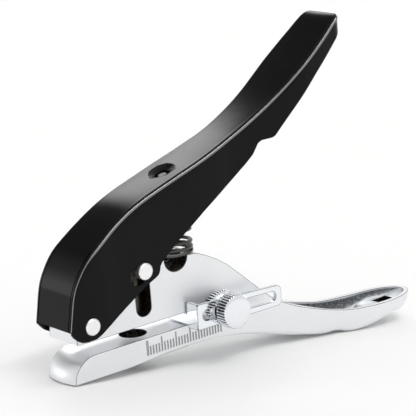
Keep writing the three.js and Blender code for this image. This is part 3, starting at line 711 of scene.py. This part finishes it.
def spring_point(turn):
    """The wire's middle: small closed coils in the pocket, then wide open ones up to the handle."""
    open_start = SEATED["turns"] + OPENING_TURNS
    opening = min(max((turn - SEATED["turns"]) / OPENING_TURNS, 0.0), 1.0)
    rising = min(max((turn - open_start) / OPEN_TURNS, 0.0), 1.0)
    spread = smooth_step((opening - 0.35) / 0.65)
    closed_z = SEATED["bottom"] + SEATED["pitch"] * min(turn, SEATED["turns"])
    closed_top = SEATED["bottom"] + SEATED["pitch"] * SEATED["turns"]
    ease = rising - 0.1 * math.sin(2 * math.pi * rising)
    z = closed_z + (OPEN_BOTTOM - closed_top) * min(opening / 0.75, 1.0) + (SPRING_TOP - OPEN_BOTTOM) * ease
    radius = SEATED["radius"] + (OPEN_RADIUS - SEATED["radius"]) * spread
    x = SEATED["x"] + (OPEN_X - SEATED["x"]) * spread
    angle = math.pi - 2 * math.pi * (turn - SEATED["turns"])
    return Vector((x + radius * math.cos(angle), radius * math.sin(angle), z))


def build_spring():
    turns = SEATED["turns"] + OPENING_TURNS + OPEN_TURNS
    steps_in_turn = 48
    steps, count = int(turns * steps_in_turn), 12
    path = [spring_point(turns * k / steps) for k in range(steps + 1)]
    verts = []
    for k, point in enumerate(path):
        along = (path[min(k + 1, steps)] - path[max(k - 1, 0)]).normalized()
        outward = along.cross(Vector((0, 0, 1))).normalized()
        upward = outward.cross(along)
        for i in range(count):
            a = 2 * math.pi * i / count
            verts.append(point + (outward * math.cos(a) + upward * math.sin(a)) * WIRE_RADIUS)
    obj = object_from("spring_wire", verts, rings_to_faces(count, steps + 1), SPRING)
    split_at(obj, 50)
    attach(obj, "frame")
    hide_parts("return_spring")
    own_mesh(obj)


build_spring()


# ---------------------------------------------------------------- knurled knob and lock nut
SCREW = Vector((25.9, 0, 2.9))           # a point on the gauge screw's axis
KNOB_RADIUS = 5.0
NUT_RADIUS = 5.15
TEETH = 36
GROOVE_DEPTH = 0.46


def knurled_piece(name, radius, stations, bore):
    """A turned piece along Y with straight cut grooves.

    Each station is (y, radius factor, groove depth); the piece runs from the first to the last.
    """
    shape = (0.0, 0.0, 0.55, 1.0, 1.0, 0.55)     # depth of the groove round one tooth
    per_tooth = len(shape)
    count = TEETH * per_tooth
    verts, rings = [], 0
    for y, share, depth in stations:
        for k in range(count):
            a = 2 * math.pi * k / count
            r = radius * share - depth * shape[k % per_tooth]
            verts.append((SCREW.x + r * math.cos(a), y, SCREW.z + r * math.sin(a)))
        rings += 1
    faces = rings_to_faces(count, rings, closed_ends=not bore)
    if bore:
        for k in range(count):
            j = (k + 1) % count
            faces.append([k, j, (rings - 1) * count + j, (rings - 1) * count + k])
    first_end = count * (rings - 1)

    def in_groove(index):
        """The bottoms of the grooves, along the stations that have them."""
        if index >= first_end:
            return False
        station = index // count
        cut = stations[station][2] > 0 and stations[station + 1][2] > 0
        return cut and shape[index % per_tooth] + shape[(index + 1) % per_tooth] > 1.2

    # the bottoms of the grooves take the painted shade
    obj = object_from(name, verts, faces, KNURL, GROOVE, in_groove)
    split_at(obj, 34)
    return obj


def build_knob():
    back, front = -12.05, -15.85
    stations = [
        (back, 0.35, 0.0),                       # back face and its chamfer
        (back, 0.86, 0.0),
        (back - 0.12, 0.90, 0.0),
        (back - 0.3, 0.985, GROOVE_DEPTH),       # knurled rim
        (back - 0.42, 1.0, GROOVE_DEPTH),
        (front + 0.42, 1.0, GROOVE_DEPTH),
        (front + 0.3, 0.99, GROOVE_DEPTH * 0.8),
        (front + 0.1, 0.945, 0.0),               # front chamfer
        (front - 0.02, 0.92, 0.0),
        (front - 0.12, 0.87, 0.0),
        (front - 0.24, 0.74, 0.0),               # slightly domed face
        (front - 0.36, 0.55, 0.0),
        (front - 0.44, 0.34, 0.0),
        (front - 0.47, 0.14, 0.0),
        (front - 0.48, 0.02, 0.0),
    ]
    obj = knurled_piece("knob_knurled", KNOB_RADIUS, stations, bore=False)
    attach(obj, "thumb_screw")
    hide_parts("thumb_knob")


def build_nut():
    back, front = -6.82, -9.4
    collar = -10.38
    stations = [
        (back, 0.3, 0.0),                        # back face
        (back, 0.88, 0.0),
        (back - 0.3, 0.985, GROOVE_DEPTH),       # knurled rim
        (back - 0.42, 1.0, GROOVE_DEPTH),
        (front + 0.4, 1.0, GROOVE_DEPTH),
        (front + 0.25, 0.985, GROOVE_DEPTH),
        (front, 0.9, 0.0),                       # front face, stepping down to the plain collar
        (front, 0.815, 0.0),
        (collar + 0.15, 0.805, 0.0),
        (collar, 0.775, 0.0),
        (collar, 0.3, 0.0),
    ]
    obj = knurled_piece("nut_knurled", NUT_RADIUS, stations, bore=True)
    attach(obj, "lock_nut")
    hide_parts("lock_nut")


build_knob()
build_nut()


# ---------------------------------------------------------------- ruler marks
MARKS = 27                               # one millimetre apart, from the middle of the punch
MARKS_IN_GROUP = 5
MARK_HALF = 0.125
FIRST_MARK_HALF = 0.26
MARK_FOOT = -4.97
MARK_TOP = -2.63
LONG_MARK_TOP = -0.93
# the fill is grey painted shade of the grooves; these give how far its two faces lie under the side of the
# base
SHADE_DEEP, SHADE_FACE = 0.13, 0.05        # how far the fill's two faces lie under the side of the base


def build_ruler():
    """Grey painted shade lying in each engraved groove."""
    verts, faces = [], []
    for number in range(MARKS):
        half = FIRST_MARK_HALF if number == 0 else MARK_HALF
        top = LONG_MARK_TOP if number % MARKS_IN_GROUP == 0 else MARK_TOP
        x = DRIVE.x + number
        start = len(verts)
        for y in (-BODY_HALF + SHADE_FACE, -BODY_HALF + SHADE_DEEP):
            verts += [(x - half, y, MARK_FOOT), (x + half, y, MARK_FOOT)]
            verts += [(x + half, y, top), (x - half, y, top)]
        a = [start + k for k in range(8)]
        faces += [[a[0], a[1], a[2], a[3]], [a[7], a[6], a[5], a[4]]]
        faces += [[a[k], a[k + 4], a[(k + 1) % 4 + 4], a[(k + 1) % 4]] for k in range(4)]
    obj = object_from("ruler_painted_shade", verts, faces, RULER_SHADE)
    split_at(obj, 30)
    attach(obj, "frame")


build_ruler()


# ---------------------------------------------------------------- floor, light and camera
# A light's centre is a direction in the sky; its halves and its softness are sines of angles from it.
ROOM = 0.82                              # radiance of the walls
WALL_CENTRE = (-0.12, 0.77, 0.64)        # the dark part of the back wall
WALL_HALF = (0.34, 0.2)
WALL_SOFT = 0.14
WALL_SHADE = 0.25
BOX_CENTRE = (0.30, 0.77, 0.60)          # softbox that the top of the handle mirrors
BOX_HALF = (0.16, 0.12)
BOX_SOFT = 0.07
BOX_LIGHT = 4.4
STRIP_CENTRE = (0.03, -0.44, 0.87)       # long narrow light that draws the line along the near fold
STRIP_ALONG = Vector((0.55, 0.15, 0.06))
STRIP_HALF = (0.36, 0.06)
STRIP_SOFT = 0.02
STRIP_LIGHT = 7.0
LEFT_CENTRE = (-0.63, 0.77, 0.1)         # low light that the front flap mirrors
LEFT_HALF = (0.26, 0.18)
LEFT_SOFT = 0.1
LEFT_LIGHT = 1.5
SIDE_DIRECTION = Vector((-0.85, 0.5, 0.1)).normalized()
SIDE_SHADE = 0.8                         # the room is a little darker towards that side
OVERHEAD = 0.3
FLOOR_HALF = 6.0
LENS = 170.5                             # millimetres, for a sensor 36 wide
SENSOR = 36
CAMERA_PLACE = (-0.35432, -0.42447, 0.14819)     # metres
CAMERA_TURN = -128.607                   # degrees: the side that the camera stands on
CAMERA_LIFT = 10.9195                    # degrees: how far it looks down
CAMERA_ROLL = 0.4972                     # degrees: its tilt about the line of sight


def floor():
    mesh = bpy.data.meshes.new("floor")
    size = FLOOR_HALF
    corners = [(-size, -size, 0), (size, -size, 0), (size, size, 0), (-size, size, 0)]
    mesh.from_pydata(corners, [], [[0, 1, 2, 3]])
    obj = bpy.data.objects.new("floor", mesh)
    bpy.context.scene.collection.objects.link(obj)
    n = Nodes("floor_white")
    n.put(Base_Color=(0.93, 0.93, 0.925, 1), Roughness=0.9, Specular_IOR_Level=0.1)
    mesh.materials.append(n.material)


def surroundings():
    """A pale room as the sky: a dark part of the back wall and four soft lights, with no lamps.

    The lights are a softbox behind the tool, a long strip, a low one on the left and one overhead.
    """
    world = bpy.data.worlds.new("studio")
    bpy.context.scene.world = world
    world.use_nodes = True
    tree = world.node_tree
    tree.nodes.clear()
    direction = tree.nodes.new("ShaderNodeTexCoord").outputs["Generated"]

    def feed(value, socket):
        if isinstance(value, bpy.types.NodeSocket):
            tree.links.new(value, socket)
        else:
            socket.default_value = value

    def math_node(operation, a, b=0.0):
        node = tree.nodes.new("ShaderNodeMath")
        node.operation = operation
        feed(a, node.inputs[0])
        feed(b, node.inputs[1])
        return node.outputs[0]

    def towards(vector):
        """Cosine of the angle between where the sky is looked at and a direction."""
        node = tree.nodes.new("ShaderNodeVectorMath")
        node.operation = "DOT_PRODUCT"
        tree.links.new(direction, node.inputs[0])
        node.inputs[1].default_value = vector
        return node.outputs["Value"]

    def ramp(value, start, end, low, high):
        node = tree.nodes.new("ShaderNodeMapRange")
        node.interpolation_type = "SMOOTHSTEP"
        feed(value, node.inputs["Value"])
        for name, number in zip(("From Min", "From Max", "To Min", "To Max"), (start, end, low, high)):
            node.inputs[name].default_value = number
        return node.outputs["Result"]

    def window(centre, half_across, half_up, soft, level=None):
        """1 inside a soft-edged rectangle of the sky round a direction; level is its long way."""
        centre = Vector(centre).normalized()
        across = (Vector(level) - centre * centre.dot(level)).normalized() if level else (
            centre.cross(Vector((0, 0, 1))).normalized())
        up = across.cross(centre)
        ahead = ramp(towards(centre), 0.0, 0.1, 0.0, 1.0)
        a = ramp(math_node("ABSOLUTE", towards(across)), half_across - soft, half_across + soft, 1.0, 0.0)
        b = ramp(math_node("ABSOLUTE", towards(up)), half_up - soft, half_up + soft, 1.0, 0.0)
        return math_node("MULTIPLY", math_node("MULTIPLY", a, b), ahead)

    room = ramp(towards(SIDE_DIRECTION), 0.1, 0.95, ROOM, ROOM * SIDE_SHADE)
    wall = window(WALL_CENTRE, *WALL_HALF, WALL_SOFT)
    room = math_node("MULTIPLY", room, ramp(wall, 0.0, 1.0, 1.0, WALL_SHADE))
    box = window(BOX_CENTRE, *BOX_HALF, BOX_SOFT)
    left = window(LEFT_CENTRE, *LEFT_HALF, LEFT_SOFT)
    strip = window(STRIP_CENTRE, *STRIP_HALF, STRIP_SOFT, level=STRIP_ALONG)
    total = math_node("ADD", room, math_node("MULTIPLY", box, BOX_LIGHT))
    total = math_node("ADD", total, math_node("MULTIPLY", left, LEFT_LIGHT))
    total = math_node("ADD", total, math_node("MULTIPLY", strip, STRIP_LIGHT))
    total = math_node("ADD", total, ramp(towards((0, 0, 1)), 0.78, 0.93, 0.0, OVERHEAD))
    background = tree.nodes.new("ShaderNodeBackground")
    output = tree.nodes.new("ShaderNodeOutputWorld")
    tree.links.new(total, background.inputs["Color"])
    tree.links.new(background.outputs["Background"], output.inputs["Surface"])


def camera():
    """Long lens in front of the tool, on the ruler's side and a little above."""
    data = bpy.data.cameras.new("camera")
    obj = bpy.data.objects.new("camera", data)
    bpy.context.scene.collection.objects.link(obj)
    data.lens = LENS
    data.sensor_width = SENSOR
    data.clip_start = 0.01
    data.clip_end = 20
    data.dof.use_dof = False
    turn = Matrix.Rotation(math.radians(CAMERA_TURN + 90), 4, "Z")
    lift = Matrix.Rotation(math.radians(90 - CAMERA_LIFT), 4, "X")
    roll = Matrix.Rotation(math.radians(CAMERA_ROLL), 4, "Z")
    obj.matrix_world = Matrix.Translation(CAMERA_PLACE) @ turn @ lift @ roll
    bpy.context.scene.camera = obj


floor()
surroundings()
camera()
bpy.context.scene.view_settings.view_transform = "Standard"
